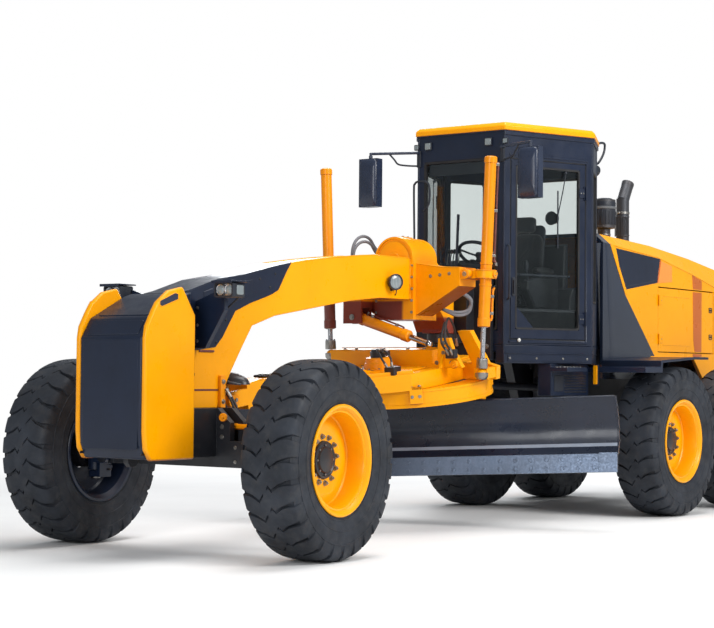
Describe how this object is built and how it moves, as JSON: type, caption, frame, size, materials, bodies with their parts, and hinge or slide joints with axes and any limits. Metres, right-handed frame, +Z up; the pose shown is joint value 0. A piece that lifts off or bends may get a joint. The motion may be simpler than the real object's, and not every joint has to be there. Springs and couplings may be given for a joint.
{
  "type": "motor grader",
  "caption": "Articulated motor grader with an arched front frame, a rotating circle with a curved blade under it, tandem rear wheels, leaning front wheels and a glazed cab.",
  "frame": {"origin": "on the ground at mid-length, on the centre plane", "axes": "+X forward, +Y to the machine's left, +Z up"},
  "size_m": [8.902, 3.1396, 3.412],
  "materials": {
    "yellow_paint": "semi-gloss yellow-orange machine paint",
    "dark_paint": "satin charcoal navy paint",
    "wheel_paint": "semi-gloss yellow wheel paint",
    "tyre": "black off-road tyre rubber",
    "axle_paint": "orange machine paint with dust",
    "chrome_rod": "hard chrome cylinder rod",
    "edge_steel": "ground wear steel",
    "blade_paint": "dark blade paint, worn",
    "glass": "pale green tinted safety glass",
    "seat": "dark seat cloth",
    "interior": "dark grey cab trim",
    "engine": "dark engine castings",
    "exhaust": "dull stack steel",
    "mirror_shell": "black mirror housing"
  },
  "bodies": {
    "rear_frame": {"rear_frame": "dark_paint", "tandem_axle": "dark_paint", "engine_block": "engine", "hood": "yellow_paint", "hood_fairing": "dark_paint", "exhaust_stack": "exhaust", "cab_floor": "dark_paint", "cab_frame": "dark_paint", "cab_roof": "yellow_paint", "cab_glass": "glass", "operator_seat": "seat", "steering_console": "interior", "fenders_and_steps": "dark_paint", "mirrors": "mirror_shell"},
    "front_frame": {"gooseneck": "yellow_paint", "saddle": "yellow_paint", "front_axle": "dark_paint", "front_counterweight": "dark_paint", "front_lamps": "dark_paint", "counterweight_plates": "yellow_paint"},
    "lean_yoke_left": {"lean_yoke_left": "yellow_paint"},
    "knuckle_left": {"knuckle_left": "axle_paint"},
    "wheel_front_left": {"tyre_front_left": "tyre", "rim_front_left": "wheel_paint"},
    "wheel_mid_left": {"tyre_mid_left": "tyre", "rim_mid_left": "wheel_paint"},
    "wheel_rear_left": {"tyre_rear_left": "tyre", "rim_rear_left": "wheel_paint"},
    "lift_trunnion_left": {"lift_trunnion_left": "yellow_paint"},
    "lift_barrel_left": {"lift_barrel_left": "axle_paint"},
    "lift_rod_left": {"lift_rod_left": "chrome_rod"},
    "cab_door_left": {"cab_door_left": "dark_paint", "door_glass_left": "glass"},
    "hood_door_left": {"hood_door_left": "yellow_paint"},
    "lean_yoke_right": {"lean_yoke_right": "yellow_paint"},
    "knuckle_right": {"knuckle_right": "axle_paint"},
    "wheel_front_right": {"tyre_front_right": "tyre", "rim_front_right": "wheel_paint"},
    "wheel_mid_right": {"tyre_mid_right": "tyre", "rim_mid_right": "wheel_paint"},
    "wheel_rear_right": {"tyre_rear_right": "tyre", "rim_rear_right": "wheel_paint"},
    "lift_trunnion_right": {"lift_trunnion_right": "yellow_paint"},
    "lift_barrel_right": {"lift_barrel_right": "axle_paint"},
    "lift_rod_right": {"lift_rod_right": "chrome_rod"},
    "cab_door_right": {"cab_door_right": "dark_paint", "door_glass_right": "glass"},
    "hood_door_right": {"hood_door_right": "yellow_paint"},
    "lean_bar": {"lean_bar": "axle_paint"},
    "tie_rod": {"tie_rod": "dark_paint"},
    "drawbar_ball": {"drawbar_ball": "dark_paint"},
    "drawbar": {"drawbar": "yellow_paint"},
    "circle": {"circle": "axle_paint"},
    "blade_carrier": {"blade_carrier": "dark_paint"},
    "tip_barrel": {"tip_barrel": "dark_paint"},
    "tip_rod": {"tip_rod": "chrome_rod"},
    "shift_barrel": {"shift_barrel": "axle_paint"},
    "shift_rod": {"shift_rod": "chrome_rod"},
    "blade": {"moldboard": "blade_paint", "cutting_edge": "edge_steel"}
  },
  "joints": [
    {"name": "articulation", "type": "hinge", "parent": "rear_frame", "child": "front_frame", "pos_m": [0.43, 0, 1.8], "axis": [0, 0, 1], "range_deg": [-25, 25]},
    {"name": "wheel_lean_left", "type": "hinge", "parent": "front_frame", "child": "lean_yoke_left", "pos_m": [3.58, 0.8, 0.64], "axis": [1, 0, 0], "range_deg": [-18, 18]},
    {"name": "steering_left", "type": "hinge", "parent": "lean_yoke_left", "child": "knuckle_left", "pos_m": [3.58, 0.96, 0.675], "axis": [0, 0, 1], "range_deg": [-49.5, 40.5]},
    {"name": "wheel_spin_front_left", "type": "hinge", "parent": "knuckle_left", "child": "wheel_front_left", "pos_m": [3.5698, 1.0896, 0.675], "axis": [-0.0785, 0.9969, 0], "continuous": true},
    {"name": "wheel_lean_right", "type": "hinge", "parent": "front_frame", "child": "lean_yoke_right", "pos_m": [3.58, -0.8, 0.64], "axis": [1, 0, 0], "range_deg": [-18.2, 18.2]},
    {"name": "steering_right", "type": "hinge", "parent": "lean_yoke_right", "child": "knuckle_right", "pos_m": [3.58, -0.96, 0.675], "axis": [0, 0, 1], "range_deg": [-49.7, 40.7]},
    {"name": "wheel_spin_front_right", "type": "hinge", "parent": "knuckle_right", "child": "wheel_front_right", "pos_m": [3.5902, -1.0896, 0.675], "axis": [-0.0785, 0.9969, 0], "continuous": true},
    {"name": "lean_bar_swing", "type": "hinge", "parent": "lean_yoke_left", "child": "lean_bar", "pos_m": [3.58, 0.8, 0.88], "axis": [1, 0, 0], "range_deg": [-18.2, 18.2]},
    {"name": "tie_rod_slide", "type": "slide", "parent": "front_frame", "child": "tie_rod", "axis": [0, 1, 0], "range_m": [-0.09106, 0.11086]},
    {"name": "wheel_spin_mid_left", "type": "hinge", "parent": "rear_frame", "child": "wheel_mid_left", "pos_m": [-1.745, 1.03, 0.675], "axis": [0, 1, 0], "continuous": true},
    {"name": "wheel_spin_rear_left", "type": "hinge", "parent": "rear_frame", "child": "wheel_rear_left", "pos_m": [-3.235, 1.03, 0.675], "axis": [0, 1, 0], "continuous": true},
    {"name": "wheel_spin_mid_right", "type": "hinge", "parent": "rear_frame", "child": "wheel_mid_right", "pos_m": [-1.745, -1.03, 0.675], "axis": [0, 1, 0], "continuous": true},
    {"name": "wheel_spin_rear_right", "type": "hinge", "parent": "rear_frame", "child": "wheel_rear_right", "pos_m": [-3.235, -1.03, 0.675], "axis": [0, 1, 0], "continuous": true},
    {"name": "drawbar_side_shift", "type": "hinge", "parent": "front_frame", "child": "drawbar_ball", "pos_m": [3.28, 0, 1.06], "axis": [0, 0, -1], "range_deg": [-4.5, 7]},
    {"name": "drawbar_lift", "type": "hinge", "parent": "drawbar_ball", "child": "drawbar", "pos_m": [3.28, 0, 1.06], "axis": [0, 1, 0], "range_deg": [-17, 1]},
    {"name": "circle_rotation", "type": "hinge", "parent": "drawbar", "child": "circle", "pos_m": [0.92374, 0, 1.39535], "axis": [0.1409, 0, 0.99], "continuous": true},
    {"name": "blade_tip", "type": "hinge", "parent": "circle", "child": "blade_carrier", "pos_m": [0.58363, -0.08057, 0.7973], "axis": [-0.301, 0.9527, 0.0428], "range_deg": [-8, 35]},
    {"name": "blade_side_shift", "type": "slide", "parent": "blade_carrier", "child": "blade", "axis": [-0.301, 0.9527, 0.0428], "range_m": [-0.55, 0.5]},
    {"name": "tip_barrel_swing", "type": "hinge", "parent": "circle", "child": "tip_barrel", "pos_m": [0.34133, -0.17026, 1.08936], "axis": [-0.301, 0.9527, 0.0428], "range_deg": [-6, 6]},
    {"name": "tip_rod_slide", "type": "slide", "parent": "tip_barrel", "child": "tip_rod", "axis": [0.8429, 0.2868, -0.4552], "range_m": [-0.03, 0.12]},
    {"name": "lift_trunnion_swing_left", "type": "hinge", "parent": "front_frame", "child": "lift_trunnion_left", "pos_m": [0.97, 0.65, 2.06], "axis": [1, 0, 0], "range_deg": [-8, 12.5]},
    {"name": "lift_barrel_swing_left", "type": "hinge", "parent": "lift_trunnion_left", "child": "lift_barrel_left", "pos_m": [0.97, 0.78244, 2.06], "axis": [0, 0.9991, -0.0431], "range_deg": [-1.3, 0.3]},
    {"name": "lift_rod_slide_left", "type": "slide", "parent": "lift_barrel_left", "child": "lift_rod_left", "axis": [0, -0.0431, -0.9991], "range_m": [-0.05, 0.72]},
    {"name": "lift_trunnion_swing_right", "type": "hinge", "parent": "front_frame", "child": "lift_trunnion_right", "pos_m": [0.97, -0.65, 2.06], "axis": [1, 0, 0], "range_deg": [-8, 12.5]},
    {"name": "lift_barrel_swing_right", "type": "hinge", "parent": "lift_trunnion_right", "child": "lift_barrel_right", "pos_m": [0.97, -0.78244, 2.06], "axis": [0, 0.9991, 0.0431], "range_deg": [-0.3, 1.3]},
    {"name": "lift_rod_slide_right", "type": "slide", "parent": "lift_barrel_right", "child": "lift_rod_right", "axis": [0, 0.0431, -0.9991], "range_m": [-0.05, 0.72]},
    {"name": "shift_barrel_swing", "type": "hinge", "parent": "front_frame", "child": "shift_barrel", "pos_m": [1.18, -0.33, 1.722], "axis": [1, 0, 0], "range_deg": [-36, 2.5]},
    {"name": "shift_rod_slide", "type": "slide", "parent": "shift_barrel", "child": "shift_rod", "axis": [0, 0.9549, -0.2969], "range_m": [-0.18, 0.27]},
    {"name": "cab_door_swing_left", "type": "hinge", "parent": "rear_frame", "child": "cab_door_left", "pos_m": [-0.69118, 0.78181, 2.3], "axis": [0, 0, 1], "range_deg": [0, 105]},
    {"name": "cab_door_swing_right", "type": "hinge", "parent": "rear_frame", "child": "cab_door_right", "pos_m": [-0.69118, -0.78181, 2.3], "axis": [0, 0, -1], "range_deg": [0, 105]},
    {"name": "hood_door_swing_left", "type": "hinge", "parent": "rear_frame", "child": "hood_door_left", "pos_m": [-2.459, 0.612, 1.8], "axis": [0, 0, -1], "range_deg": [0, 120]},
    {"name": "hood_door_swing_right", "type": "hinge", "parent": "rear_frame", "child": "hood_door_right", "pos_m": [-2.459, -0.612, 1.8], "axis": [0, 0, 1], "range_deg": [0, 120]}
  ],
  "couplings": [
    {"joint": "wheel_lean_right", "follows": "wheel_lean_left", "ratio": 1},
    {"joint": "steering_right", "follows": "steering_left", "ratio": 1},
    {"joint": "lean_bar_swing", "follows": "wheel_lean_left", "ratio": -1},
    {"joint": "tie_rod_slide", "follows": "steering_left", "m_per_rad": -0.126},
    {"joint": "tip_barrel_swing", "follows": "blade_tip", "ratio": -0.07792},
    {"joint": "tip_rod_slide", "follows": "blade_tip", "m_per_rad": 0.15734},
    {"joint": "lift_trunnion_swing_left", "follows": "drawbar_side_shift", "ratio": 1.75},
    {"joint": "lift_barrel_swing_left", "follows": "drawbar_lift", "ratio": 0.06},
    {"joint": "lift_rod_slide_left", "follows": "drawbar_lift", "m_per_rad": -2.31},
    {"joint": "lift_trunnion_swing_right", "follows": "drawbar_side_shift", "ratio": 1.75},
    {"joint": "lift_barrel_swing_right", "follows": "drawbar_lift", "ratio": -0.06},
    {"joint": "lift_rod_slide_right", "follows": "drawbar_lift", "m_per_rad": -2.31},
    {"joint": "shift_barrel_swing", "follows": "drawbar_lift", "ratio": 2},
    {"joint": "shift_rod_slide", "follows": "drawbar_side_shift", "m_per_rad": 2.12}
  ]
}
